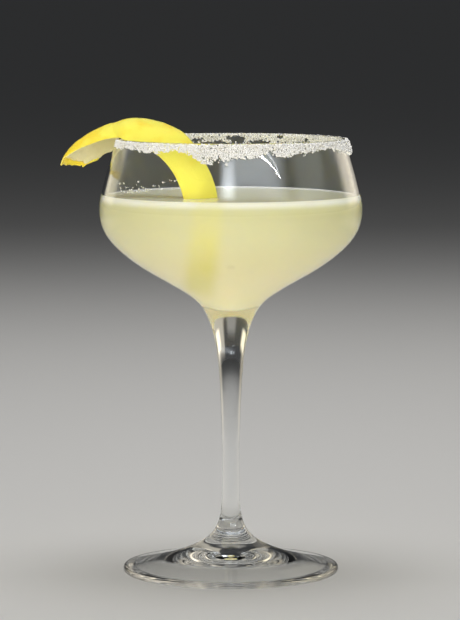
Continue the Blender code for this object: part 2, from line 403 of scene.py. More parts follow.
@dataclass
class GrowthTree:
    """A Geometry Nodes tree with named inputs, which ends in Realize Instances and Set Material."""

    name: str
    sizes: Mapping[str, Number]
    wiring: Wiring = field(init=False)
    inputs: bpy_prop_collection = field(init=False)

    def __post_init__(self) -> None:
        """Makes the tree's outer sockets."""
        tree = bpy.data.node_groups.new(self.name, "GeometryNodeTree")
        add = tree.interface.new_socket
        add("Geometry", in_out="INPUT", socket_type="NodeSocketGeometry")
        for label, value in self.sizes.items():
            kind = "NodeSocketInt" if isinstance(value, int) else "NodeSocketFloat"
            add(label, in_out="INPUT", socket_type=kind).default_value = value
        add("Material", in_out="INPUT", socket_type="NodeSocketMaterial")
        add("Geometry", in_out="OUTPUT", socket_type="NodeSocketGeometry")
        self.wiring = Wiring(tree)
        self.inputs = self.wiring.add("NodeGroupInput")

    def end(self, geometry: NodeSocket, smooth: bool = True) -> None:
        """Closes the tree.

        Args:
            geometry: What it has made so far.
            smooth: Whether the faces are shaded smooth.
        """
        wire = self.wiring
        real = wire.add("GeometryNodeRealizeInstances", {"Geometry": geometry})[0]
        shaded = wire.add("GeometryNodeSetShadeSmooth", {"Geometry": real, "Shade Smooth": smooth})[0]
        feeds = {"Geometry": shaded, "Material": self.inputs["Material"]}
        wire.add("NodeGroupOutput", {0: wire.add("GeometryNodeSetMaterial", feeds)[0]})

    def grow(self, name: str, seed: Mesh, material: Material, **sizes: Number) -> Object:
        """Runs the tree on a mesh and keeps the result as a plain mesh.

        Args:
            name: The new piece's name.
            seed: The mesh that the tree starts from.
            material: What the piece is made of.
            **sizes: Values for the named inputs, with underscores for spaces.

        Returns:
            The piece, at the origin, with no modifier left.
        """
        piece = new_object(name, seed)
        modifier = piece.modifiers.new(self.name, "NODES")
        modifier.node_group = self.wiring.tree
        values = {label.replace("_", " "): value for label, value in sizes.items()} | {"Material": material}
        for socket in self.wiring.tree.interface.items_tree:
            if socket.in_out == "INPUT" and socket.name in values:
                modifier[socket.identifier] = values[socket.name]
        bpy.context.view_layer.update()
        graph = bpy.context.evaluated_depsgraph_get()
        mesh = bpy.data.meshes.new_from_object(piece.evaluated_get(graph))
        piece.modifiers.clear()
        piece.data = mesh
        return piece


def turning_tree() -> GrowthTree:
    """Makes the tree that turns a profile, a chain of points in the XZ plane, about the Z axis.

    Returns:
        The tree. Segments is how many steps go round, and Rings how many points the profile has.
    """
    tree = GrowthTree("Turned shell", {"Segments": 96, "Rings": 2})
    wire, rings = tree.wiring, tree.inputs["Rings"]
    last_ring = wire.math("SUBTRACT", rings, 1.0)
    across = wire.math("ADD", tree.inputs["Segments"], 1.0)
    sizes = {"Size X": 1.0, "Size Y": 1.0, "Vertices X": across, "Vertices Y": rings}
    grid = wire.add("GeometryNodeMeshGrid", sizes)["Mesh"]
    place = wire.add("GeometryNodeInputPosition")[0]
    here = wire.split(place)
    turn = wire.product(wire.math("ADD", here["X"], 0.5), math.tau)
    ring = wire.math("ROUND", wire.product(wire.math("ADD", here["Y"], 0.5), last_ring))
    feeds = {"Geometry": tree.inputs["Geometry"], "Value": place, "Index": ring}
    sampled = wire.add("GeometryNodeSampleIndex", feeds, data_type="FLOAT_VECTOR", domain="POINT")[0]
    profile = wire.split(sampled)
    flat = [wire.product(profile["X"], wire.math(wave, turn)) for wave in ("COSINE", "SINE")]
    shell = wire.shifted(grid, Position=wire.joined(*flat, profile["Z"]))
    tree.end(wire.add("GeometryNodeMergeByDistance", {"Geometry": shell, "Distance": MERGE})[0])
    return tree


def crystal_tree() -> GrowthTree:
    """Makes the tree that strews small uneven blocks over a surface, as thickly as its "cover" says.

    Returns:
        The tree. Lift raises every block off the surface, and Pile is how much higher some lie.
    """
    least, most = (0.6, 0.6, 0.5), (1.25, 1.15, 0.95)
    spin_seed, size_seed, chip_seed = 11, 12, 13
    chip_share = 0.14
    lengths = {"Spacing": 0.4 * MM, "Grain": 0.5 * MM, "Pile": 0.3 * MM, "Lift": 0.1 * MM}
    tree = GrowthTree("Strewn crystals", lengths | {"Density": 9e6, "Seed": 1})
    wire, given = tree.wiring, tree.inputs
    cover = wire.add("GeometryNodeInputNamedAttribute", {"Name": "cover"}, data_type="FLOAT")[0]
    strewn = wire.add(
        "GeometryNodeDistributePointsOnFaces",
        {
            "Mesh": given["Geometry"],
            "Distance Min": given["Spacing"],
            "Density Max": given["Density"],
            "Density Factor": cover,
            "Seed": given["Seed"],
        },
        distribute_method="POISSON",
    )
    chance = wire.add("FunctionNodeRandomValue", {"Seed": given["Seed"]}, data_type="FLOAT")[1]
    height = wire.math("ADD", wire.product(chance, given["Pile"], cover), given["Lift"])
    points = wire.shifted(strewn["Points"], Offset=wire.stretched(strewn["Normal"], height))
    block = wire.add("GeometryNodeMeshCube", {"Size": wire.joined(*[given["Grain"]] * 3)})["Mesh"]
    spin = wire.chance((0.0,) * 3, (math.tau,) * 3, spin_seed)
    grains = wire.add(
        "GeometryNodeInstanceOnPoints",
        {
            "Points": points,
            "Instance": block,
            "Rotation": wire.add("FunctionNodeEulerToRotation", {0: spin})[0],
            "Scale": wire.chance(least, most, size_seed),
        },
    )[0]
    real = wire.add("GeometryNodeRealizeInstances", {"Geometry": grains})[0]
    chip = wire.chance((-1.0,) * 3, (1.0,) * 3, chip_seed)
    nudge = wire.stretched(chip, wire.product(given["Grain"], chip_share))
    tree.end(wire.shifted(real, Offset=nudge), smooth=False)
    return tree


def bead_tree() -> GrowthTree:
    """Makes the tree that sets a small round bead of a random size on each point.

    Returns:
        The tree. Largest is the largest bead's radius, and Smallest Share the smallest one's share of it.
    """
    tree = GrowthTree("Beads", {"Largest": 0.5 * MM, "Smallest Share": 0.35, "Seed": 1})
    wire, given = tree.wiring, tree.inputs
    ball = wire.add("GeometryNodeMeshIcoSphere", {"Radius": given["Largest"], "Subdivisions": 2})["Mesh"]
    least, most = 2, 3
    feeds = {least: given["Smallest Share"], most: 1.0, "Seed": given["Seed"]}
    size = wire.add("FunctionNodeRandomValue", feeds, data_type="FLOAT")[1]
    feeds = {"Points": given["Geometry"], "Instance": ball, "Scale": size}
    tree.end(wire.add("GeometryNodeInstanceOnPoints", feeds)[0])
    return tree


# ---- finishes


def principled(name: str, scatter: Scatter | None = None, **values: Any) -> tuple[Material, Wiring, Node]:
    """Starts a material on the Principled shader.

    Args:
        name: The material's name.
        scatter: How light spreads under the surface: how much, how far, and each colour's share of that.
        **values: Values for the shader's own sockets, with underscores for spaces.

    Returns:
        The material, the wiring of its nodes and its shader.
    """
    material = bpy.data.materials.new(name)
    material.use_nodes = True
    wire, shader = Wiring(material.node_tree), material.node_tree.nodes["Principled BSDF"]
    wire.feed(shader, {label.replace("_", " "): value for label, value in values.items()})
    sockets = ("Subsurface Weight", "Subsurface Scale", "Subsurface Radius")
    wire.feed(shader, dict(zip(sockets, scatter or ())))
    return material, wire, shader


def bump(wire: Wiring, height: Any, strength: float, distance: float) -> NodeSocket:
    """Makes a normal that is bumped by a height.

    Args:
        wire: The wiring of the material's nodes.
        height: The output that gives the height, from 0 to 1.
        strength: How much of the bump shows, from 0 to 1.
        distance: How far a height of 1 stands out, in millimetres.

    Returns:
        The normal.
    """
    return wire.add("ShaderNodeBump", {"Height": height, "Strength": strength, "Distance": distance * MM})[0]


@dataclass(frozen=True)
class ClearGlass:
    """Clear glass with the faint waves that drawing and polishing leave."""

    tint: Colour = (0.985, 0.995, 0.992, 1.0)
    wave_noise: Pair = (60.0, 1.0)
    wave_strength: float = 0.03
    wave_height: float = 0.1

    def build(self) -> Material:
        """Makes the material.

        Returns:
            The material.
        """
        looks = {"Base_Color": self.tint, "Roughness": 0.0, "IOR": 1.5, "Transmission_Weight": 1.0}
        material, wire, shader = principled("clear_glass", **looks)
        waves = wire.noise(wire.here(), *self.wave_noise)
        wire.feed(shader, {"Normal": bump(wire, waves, self.wave_strength, self.wave_height)})
        return material


@dataclass(frozen=True)
class CloudyDrink:
    """Cloudy lemon juice, in which the sunken peel shows as a yellower streak. Its colour also carries painted
    light: lighter towards the bottom, a painted highlight in a band by the wall, and a lighter top.

    Depths below the level, distances from the axis and the streak's own sizes are in millimetres.
    """

    scatter: Scatter = (1.0, 0.03, (1.0, 0.9, 0.6))
    body: Colour = (0.62, 0.6, 0.36, 1.0)
    # Painted light: low is the lower drink's colour, painted lighter where the downward-facing lower bowl gets
    # little light.
    low: Colour = (0.8, 0.74, 0.44, 1.0)
    painted_bottom_light_depths: Pair = (6.0, 36.0)
    # Painted sheen: surface is the colour of the top half-millimetre, painted lighter to stand in for its
    # sheen at a grazing view.
    surface: Colour = (0.84, 0.81, 0.56, 1.0)
    painted_top_sheen_depths: Pair = (0.5, 0.1)
    # Painted highlight: brim is a bright band just under the level, near the wall, standing in for the
    # meniscus's glint.
    painted_brim_glint: Colour = (0.88, 0.85, 0.64, 1.0)
    painted_brim_glint_depths: Pair = (2.8, 0.4)
    painted_brim_glint_reach: Pair = (43.0, 46.0)
    streak: Colour = (0.69, 0.64, 0.23, 1.0)
    streak_x: float = -8.0
    streak_widths: Pair = (8.0, 2.4)
    streak_reach: float = 15.0
    streak_lean: float = 0.1
    streak_start: Pair = (3.0, 18.0)
    streak_end: Pair = (42.0, 28.0)
    streak_shares: Pair = (0.4, 1.0)
    cloud_noise: Pair = (55.0, 3.0)
    cloud_range: Pair = (0.2, 0.7)
    cloud_shares: Pair = (0.6, 1.0)

    def build(self, place: "Standing") -> Material:
        """Makes the material.

        Args:
            place: Where the glass stands.

        Returns:
            The material.
        """
        material, wire, shader = principled("cloudy_drink", self.scatter, Roughness=0.12, IOR=1.15)
        here = wire.here()
        part = wire.split(here)
        below = wire.math("SUBTRACT", place.level, part["Z"])
        feeds = {0: here, 1: (place.axis.x, place.axis.y, place.level)}
        outward = wire.add("ShaderNodeVectorMath", feeds, operation="DISTANCE")["Value"]
        # Painted highlight: this mask keeps the glint band close to the wall.
        at_wall = wire.spread(outward, *in_metres(self.painted_brim_glint_reach))
        # The first three masks carry painted light: the lower drink lighter, a bright glint band just under
        # the level by the wall, and a lighter top; the last one bounds the streak.
        ranges = (self.painted_bottom_light_depths, self.painted_brim_glint_depths, self.painted_top_sheen_depths, self.streak_end)
        low, painted_brim_glint, top, end = (wire.spread(below, *in_metres(depths)) for depths in ranges)
        # Painted light: the drink turns lighter towards the bottom.
        body = wire.blend(low, self.body, self.low)
        # Painted highlight: the glint band by the wall.
        with_painted_brim_glint = wire.blend(wire.product(painted_brim_glint, at_wall), body, self.painted_brim_glint)
        # Painted sheen: the lighter top.
        with_painted_top_sheen = wire.blend(top, with_painted_brim_glint, self.surface)
        lean = wire.product(below, -self.streak_lean)
        from_middle = wire.math("SUBTRACT", part["X"], place.axis.x + self.streak_x * MM)
        beside = wire.math("ABSOLUTE", wire.math("SUBTRACT", from_middle, lean))
        near = wire.spread(beside, *in_metres(self.streak_widths))
        front = wire.spread(part["Y"], place.axis.y, place.axis.y - self.streak_reach * MM)
        start = wire.spread(below, *in_metres(self.streak_start), *self.streak_shares)
        cloud = wire.spread(wire.noise(here, *self.cloud_noise), *self.cloud_range, *self.cloud_shares)
        share = wire.product(near, front, wire.product(end, start), cloud)
        wire.feed(shader, {"Base Color": wire.blend(share, with_painted_top_sheen, self.streak)})
        return material


@dataclass(frozen=True)
class LemonRind:
    """Waxy, pored zest on the outside and soft pith inside, told apart by the "zest" attribute."""

    scatter: Scatter = (0.25, 0.0015, (1.0, 0.8, 0.3))
    zest: Colour = (1.0, 0.89, 0.12, 1.0)
    ripe: Colour = (1.0, 0.74, 0.05, 1.0)
    ripe_x: Pair = (-0.025, -0.055)
    ripe_gain: float = 0.3
    ripe_range: Pair = (0.45, 0.85)
    pith: Colour = (0.84, 0.77, 0.45, 1.0)
    pith_roughness: float = 0.75
    zest_roughness: float = 0.46
    zest_range: Pair = (0.2, 0.8)
    blotch_noise: Pair = (160.0, 4.0)
    fibre_noise: Pair = (1400.0, 5.0)
    pore_scale: float = 900.0
    pore_width: float = 0.45
    relief_strength: float = 0.3
    relief_height: float = 0.12

    def build(self) -> Material:
        """Makes the material.

        Returns:
            The material.
        """
        material, wire, shader = principled("lemon_rind", self.scatter, IOR=1.46)
        here = wire.here()
        side = wire.add("ShaderNodeAttribute", attribute_name="zest")["Fac"]
        outer = wire.spread(wire.split(here)["X"], *self.ripe_x, 0.0, self.ripe_gain)
        ripeness = wire.math("ADD", wire.noise(here, *self.blotch_noise), outer)
        skin = wire.blend(wire.spread(ripeness, *self.ripe_range), self.zest, self.ripe)
        pores = wire.add("ShaderNodeTexVoronoi", {"Vector": here, "Scale": self.pore_scale})["Distance"]
        fibres = wire.noise(here, *self.fibre_noise)
        feeds = {0: side, 2: fibres, 3: wire.spread(pores, 0.0, self.pore_width)}
        relief = wire.add("ShaderNodeMix", feeds, data_type="FLOAT")[0]
        roughness = wire.spread(side, *self.zest_range, self.pith_roughness, self.zest_roughness)
        normal = bump(wire, relief, self.relief_strength, self.relief_height)
        colour = wire.blend(side, self.pith, skin)
        wire.feed(shader, {"Base Color": colour, "Roughness": roughness, "Normal": normal})
        return material


@dataclass(frozen=True)
class SugarCrystal:
    """White sugar grains, a few of them damp with lemon."""

    scatter: Scatter = (0.35, 0.001, (1.0, 0.95, 0.85))
    white: Colour = (0.99, 0.97, 0.91, 1.0)
    damp: Colour = (0.84, 0.8, 0.68, 1.0)
    clot_noise: Pair = (420.0, 3.0)
    clot_range: Pair = (0.52, 0.74)

    def build(self) -> Material:
        """Makes the material.

        Returns:
            The material.
        """
        material, wire, shader = principled("sugar_crystal", self.scatter, Roughness=0.3, IOR=1.54)
        clots = wire.spread(wire.noise(wire.here(), *self.clot_noise), *self.clot_range)
        wire.feed(shader, {"Base Color": wire.blend(clots, self.white, self.damp)})
        return material


@dataclass(frozen=True)
class FoamBubble:
    """Small bubbles: wet, bright and nearly opaque."""

    tint: Colour = (1.0, 0.99, 0.93, 1.0)
    film_noise: Pair = (900.0, 2.0)
    film_range: Pair = (0.3, 0.7)
    film_roughness: Pair = (0.02, 0.12)

    def build(self) -> Material:
        """Makes the material.

        Returns:
            The material.
        """
        looks = {"Base_Color": self.tint, "IOR": 1.33, "Transmission_Weight": 0.05}
        material, wire, shader = principled("foam_bubble", **looks)
        film = wire.noise(wire.here(), *self.film_noise)
        wire.feed(shader, {"Roughness": wire.spread(film, *self.film_range, *self.film_roughness)})
        return material


# ---- the cocktail


@dataclass(frozen=True)
class Standing:
    """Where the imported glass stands: the foot of its own axis and the drink's level, in metres."""

    axis: Vector
    level: float

    @classmethod
    def read(cls, meniscus: float) -> "Standing":
        """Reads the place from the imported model.

        Args:
            meniscus: How far the drink's edge climbs above its level, in metres.

        Returns:
            The place.
        """
        low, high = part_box("coupe_glass")
        drink_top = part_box("lemon_drink")[1][2]
        axis = Vector(((low[0] + high[0]) / 2, (low[1] + high[1]) / 2, low[2]))
        return cls(axis=axis, level=drink_top - meniscus)

    def put(self, x: float, y: float, z: float) -> Triple:
        """Turns millimetres about the glass's axis into metres in the frame."""
        return (self.axis.x + x * MM, self.axis.y + y * MM, self.axis.z + z * MM)


@dataclass
class TurnedPiece:
    """A piece that is turned about the glass's axis."""

    place: Standing
    turning: GrowthTree

    def turn(self, name: str, profile: Sequence[Vector], segments: int, material: Material) -> Object:
        """Turns a profile about the glass's axis.

        Args:
            name: The piece's name.
            profile: Points of radius and height in millimetres, from the axis back to the axis.
            segments: How many steps go round.
            material: What the piece is made of.

        Returns:
            The piece, riding on the root body.
        """
        chain = new_mesh(f"{name}_profile", ((point.x * MM, 0.0, point.y * MM) for point in profile))
        piece = self.turning.grow(name, chain, material, Segments=segments, Rings=len(profile))
        for vertex in piece.data.vertices:
            vertex.co += self.place.axis
        face_outwards(piece.data)
        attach(piece, BODY)
        return piece


@dataclass
class CoupeGlass(TurnedPiece):
    """The stemmed glass: one turned piece with a drawn stem and a foot that is hollow underneath."""

    finish: ClearGlass = ClearGlass()
    lip_wall: float = 1.15
    lip_steps: int = 12
    rim: float = 162.0
    rim_radius: float = 42.5
    foot_radius: float = 40.3
    foot_edge: float = 1.35
    foot_edge_start: float = 72.0
    foot_edge_steps: int = 14
    segments: int = 180
    outside: Outline = Outline((
        (42.5, 161.425), (45.35, 151.6), (47.15, 145.0), (48.9, 135.6), (46.5, 126.2), (35.6, 115.8),
        (19.6, 106.4), (12.2, 101.2), (8.2, 94.8), (5.3, 84.4), (3.95, 67.5),
        (3.25, 37.0), (4.2, 19.6), (8.8, 12.6), (21.0, 6.9), (38.8, 2.6),
    ))
    inside: Outline = Outline((
        (0.0, 100.6), (3.0, 101.1), (6.2, 102.9), (10.4, 105.2), (20.4, 110.2), (36.2, 118.8),
        (44.9, 127.1), (47.7, 135.6), (45.95, 145.0), (44.15, 151.6), (41.35, 161.425),
    ))
    hollow: Outline = Outline(((35.6, 0.0), (22.0, 3.6), (0.0, 6.2)))

    def profile(self) -> list[Vector]:
        """Lists the outline: up the bowl's inside, over the lip, down the outside and under the foot.

        Returns:
            Points of radius and height in millimetres.
        """
        half = self.lip_wall / 2
        lip = arc((self.rim_radius - half, self.rim - half), half, 180, 0, self.lip_steps)
        centre = (self.foot_radius - self.foot_edge, self.foot_edge)
        edge = arc(centre, self.foot_edge, self.foot_edge_start, -90, self.foot_edge_steps)
        return self.inside.fine[:-1] + lip + self.outside.fine[1:] + edge + self.hollow.fine

    def build(self) -> Object:
        """Builds the glass.

        Returns:
            The piece.
        """
        piece = self.turn("coupe", self.profile(), self.segments, self.finish.build())
        # Soft light reaches the drink, the sugar and the floor through the glass as if it weren't there.
        piece.visible_shadow = False
        piece.visible_diffuse = False
        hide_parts("coupe_glass")
        return piece


@dataclass
class LemonDrink(TurnedPiece):
    """The drink: it reaches just into the wall of the glass and climbs it a little at the top."""

    glass: CoupeGlass
    finish: CloudyDrink = CloudyDrink()
    into_wall: float = 0.2
    meniscus: float = 0.4
    meniscus_reach: float = 0.7
    wall_stop: float = 0.3
    surface_step: float = 0.25
    surface_steps: int = 16
    surface_shares: tuple[float, ...] = (0.9, 0.75, 0.6, 0.45, 0.3, 0.15, 0.0)
    segments: int = 160

    @property
    def level(self) -> float:
        """The drink's level in millimetres above the place where the glass stands."""
        return (self.place.level - self.place.axis.z) / MM

    def profile(self) -> list[Vector]:
        """Lists the outline, from the bowl's floor up the wall and in along the surface.

        Returns:
            Points of radius and height in millimetres.
        """
        top = self.level + self.meniscus
        wall = [point for point in self.glass.inside.fine if point.y < top - self.wall_stop]
        up = [Vector((0.0, wall[0].y - self.into_wall))]
        for before, point, after in zip(wall, wall[1:], wall[2:]):
            along = (after - before).normalized()
            up.append(point + Vector((along.y, -along.x)) * self.into_wall)
        edge = self.glass.inside.radius(top) + self.into_wall
        surface = []
        for inward in (step * self.surface_step for step in range(self.surface_steps)):
            from_wall = max(inward - self.into_wall, 0.0)
            climb = self.meniscus * math.exp(-from_wall / self.meniscus_reach)
            surface.append(Vector((edge - inward, self.level + climb)))
        flat = [Vector((surface[-1].x * share, self.level)) for share in self.surface_shares]
        return up + surface + flat

    def build(self) -> Object:
        """Builds the drink's body.

        Returns:
            The piece.
        """
        piece = self.turn("drink", self.profile(), self.segments, self.finish.build(self.place))
        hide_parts("lemon_drink")
        return piece


@dataclass
class EdgeBubbles:
    """The bubbles where the drink meets the far wall: some float, and the others cling to the glass."""

    drink: LemonDrink
    beads: GrowthTree
    finish: FoamBubble = FoamBubble()
    count: int = 48
    largest: float = 0.42
    arc: Pair = (110.0, 157.0)
    afloat_each: int = 3
    afloat_height: float = 0.1
    afloat_reach: Pair = (0.5, 4.0)
    cling_height: Pair = (0.3, 3.4)
    cling_reach: Pair = (0.1, 0.4)
    seed: int = 5

    def places(self) -> Iterable[Triple]:
        """Draws the places at random, spread evenly along the arc.

        Returns:
            The middle of each bubble, in metres in the frame.
        """
        draw = random.Random(self.seed)
        first, last = self.arc
        for number in range(self.count):
            angle = math.radians(first + (number + draw.random()) / self.count * (last - first))
            afloat = number % self.afloat_each == 0
            above = self.afloat_height if afloat else draw.uniform(*self.cling_height)
            reach = draw.uniform(*(self.afloat_reach if afloat else self.cling_reach))
            height = self.drink.level + above
            radius = self.drink.glass.inside.radius(height) - reach
            yield self.drink.place.put(radius * math.cos(angle), radius * math.sin(angle), height)

    def build(self) -> Object:
        """Builds the bubbles.

        Returns:
            The piece.
        """
        places = new_mesh("bubble_places", self.places())
        sizes = {"Largest": self.largest * MM, "Seed": self.seed}
        piece = self.beads.grow("bubbles", places, self.finish.build(), **sizes)
        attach(piece, BODY)
        return piece


@dataclass
class LemonPeel:
    """The long curled strip of peel: yellow zest bowed outwards, white pith inside, and a torn end.

    Each station is a point of the near edge, a point of the far edge and how far the middle bows out.
    """

    place: Standing
    finish: LemonRind = LemonRind()
    thickness: float = 1.9
    edge_share: float = 0.36
    edge_power: int = 5
    rows: int = 240
    columns: int = 44
    rounding: float = 0.34
    station_gap: float = 7.5
    torn_width: float = 3.0
    torn_middle: float = 1.4
    torn_lean: float = 0.8
    torn_wander: float = 0.4
    torn_depth: float = 0.5
    torn_pitches: Pair = (4.3, 17.9)
    tear_reach: float = 2.5
    teeth: Pairs = ((0.7, 1.0), (-0.92, 0.6), (-0.3, 0.4))
    tooth_width: float = 0.045
    corner_depth: float = 2.2
    corner_from: float = 0.68
    corner_reach: float = 9.0
    pith_fade: Pair = (0.6, 0.85)
    zest_share: float = 0.45
    side_steps: Pairs = ((0.3, 1.0), (0.72, 0.25))
    side_bulge: float = 0.3
    ripples: Pairs = ((0.16, 0.28), (0.55, 0.07))
    stations: tuple[tuple[Triple, Triple, float], ...] = (
        ((-63.6, -2.6, 151.3), (-53.1, 9.8, 149.2), 3.4),
        ((-61.1, -6.5, 155.6), (-48.0, 10.6, 155.4), 4.8),
        ((-52.0, -6.0, 160.4), (-43.5, 12.8, 157.6), 6.6),
        ((-42.5, -6.0, 162.8), (-40.6, 12.8, 163.5), 5.1),
        ((-39.1, -10.1, 162.1), (-35.6, 8.5, 168.7), 3.3),
        ((-29.4, -11.8, 158.4), (-25.8, 3.4, 167.9), 2.4),
        ((-22.8, -15.6, 152.8), (-17.0, -3.4, 163.7), 2.2),
        ((-18.8, -19.0, 146.4), (-10.8, -9.0, 155.6), 1.8),
        ((-16.6, -21.4, 139.4), (-6.2, -12.6, 146.6), 1.6),
        ((-15.6, -21.6, 131.4), (-4.2, -13.0, 137.0), 1.6),
        ((-15.2, -19.6, 123.0), (-3.6, -11.0, 127.6), 1.6),
        ((-15.6, -15.4, 115.0), (-4.8, -6.6, 118.0), 1.5),
        ((-16.0, -9.6, 109.6), (-6.8, -2.0, 108.4), 1.2),
    )

    @cached_property
    def curves(self) -> tuple[SmoothCurve, SmoothCurve, SmoothCurve]:
        """The strip's three curves.

        Returns:
            The near edge, the far edge, and the bow, which is paired with the station's number.
        """
        near, far, bow = zip(*self.stations)
        paired = tuple((value, float(number)) for number, value in enumerate(bow))
        return SmoothCurve(near), SmoothCurve(far), SmoothCurve(paired)

    def middle(self, place: float) -> Vector:
        """Finds the point halfway between the edges."""
        near, far, _ = self.curves
        return (near.at(place) + far.at(place)) / 2

    def section(self, place: float, across: float) -> tuple[Vector, Vector]:
        """Finds a point of the yellow face.

        Args:
            place: How far along the strip, in stations.
            across: From -1 at the near edge to 1 at the far edge.

        Returns:
            The point and the direction out of the yellow face.
        """
        near, far, bow = (curve.at(place) for curve in self.curves)
        last, step = self.curves[0].last, 0.05
        ahead, behind = min(max(place, 0) + step, last), max(min(place, last) - step, 0)
        along = (self.middle(ahead) - self.middle(behind)).normalized()
        width = far - near
        outward = along.cross(width).normalized()
        point = (near + far) / 2 + width * across / 2 + outward * bow.x * (1 - across**2)
        lean = width.normalized() * (4 * bow.x * across / width.length)
        normal = (outward + lean).normalized()
        return point + normal * layered(point, self.ripples), normal

    def depth(self, across: float) -> float:
        """Finds the strip's thickness, which falls off towards its two edges."""
        return self.thickness * (1 - (1 - self.edge_share) * abs(across) ** self.edge_power)

    def ring(self, along: float) -> list[tuple[Vector, float]]:
        """Lists the strip's closed section at one place. Near the torn end only thin zest is left.

        Args:
            along: From 0 at the hanging end to 1 at the sunken end.

        Returns:
            Points with their share of zest: across the yellow face, then back across the pith.
        """
        top, bottom = [], []
        last = self.curves[0].last
        from_end = along * last * self.station_gap
        at_end, at_corner = (ease(reach, 0.0, from_end) for reach in (self.tear_reach, self.corner_reach))
        for column in range(self.columns + 1):
            across = 2 * column / self.columns - 1
            wide, fine = (noise.noise(Vector((across * pitch, pitch, 0.0))) for pitch in self.torn_pitches)
            off_teeth = (((across - spot) / self.tooth_width, size) for spot, size in self.teeth)
            toothed = sum(size * math.exp(-(off**2)) for off, size in off_teeth)
            tear = (self.torn_depth * (wide + fine) + toothed) * at_end
            tear -= self.corner_depth * ease(self.corner_from, 1.0, across) * at_corner
            inset = self.rounding * across**2
            place = inset + along * (last - 2 * inset) - tear / self.station_gap
            point, normal = self.section(place, across)
            wander = self.torn_wander * wide + self.torn_wander * fine
            torn = self.torn_width * (self.torn_middle - self.torn_lean * across + wander)
            pith = ease(*self.pith_fade, from_end / torn)
            depth = self.depth(across) * (self.zest_share + (1 - self.zest_share) * pith)
            top.append((point, 1.0))
            bottom.append((point - normal * depth, 1.0 - pith))
        sides = []
        for (upper, _), (lower, _), beside in ((top[-1], bottom[-1], top[-2]), (top[0], bottom[0], top[1])):
            out = (upper - beside[0]).normalized() * (upper - lower).length * self.side_bulge
            sides.append([(upper.lerp(lower, down) + out, zest) for down, zest in self.side_steps])
        return top + sides[0] + bottom[::-1] + sides[1][::-1]

    def build(self) -> Object:
        """Builds the strip.

        Returns:
            The piece.
        """
        rings = [self.ring(row / self.rows) for row in range(self.rows + 1)]
        around = len(rings[0])
        faces = lattice(len(rings), around, False, True)
        for start in (0, self.rows * around):
            faces += self.end_faces(range(start, start + around))
        mesh = new_mesh("peel", (self.place.put(*point) for ring in rings for point, _ in ring), faces)
        add_attribute(mesh, "zest", [share for ring in rings for _, share in ring])
        face_outwards(mesh)
        mesh.materials.append(self.finish.build())
        piece = new_object("peel", mesh)
        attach(piece, BODY)
        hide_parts("lemon_peel")
        return piece

    def end_faces(self, end: Sequence[int]) -> list[tuple[int, ...]]:
        """Lists the faces that close one end of the strip between its yellow face and its pith.

        Args:
            end: The numbers of the points in the strip's first or last section.

        Returns:
            The numbers of each face's points.
        """
        wide = self.columns + 1
        top, bottom = end[:wide], end[wide + 2 : 2 * wide + 2][::-1]
        far_side, near_side = end[wide : wide + 2], end[2 * wide + 2 :]
        between = [(top[k], top[k + 1], bottom[k + 1], bottom[k]) for k in range(self.columns)]
        return [*between, (top[-1], *far_side, bottom[-1]), (bottom[0], *near_side, top[0])]


@dataclass(frozen=True)
class Patch:
    """An oval spot on the rim: where it is, from +X in degrees and below the rim, and its half sizes."""

    angle: float
    below: float
    half_width: float
    half_height: float
    fade: Pair = (1.3, 0.7)

    def share(self, angle: float, radius: float, below: float, ragged: float) -> float:
        """Finds how far inside the spot a place is, from 0 to 1.

        Args:
            angle: The place's angle from +X in degrees, from -180 to 180.
            radius: Its distance from the axis in millimetres.
            below: Its depth below the rim in millimetres.
            ragged: How much the outline is pushed in or out here.

        Returns:
            From 0, outside, to 1, well inside.
        """
        along = math.radians(angle - self.angle) * radius / self.half_width
        down = (below - self.below) / self.half_height
        return ease(*self.fade, along**2 + down**2 + ragged)


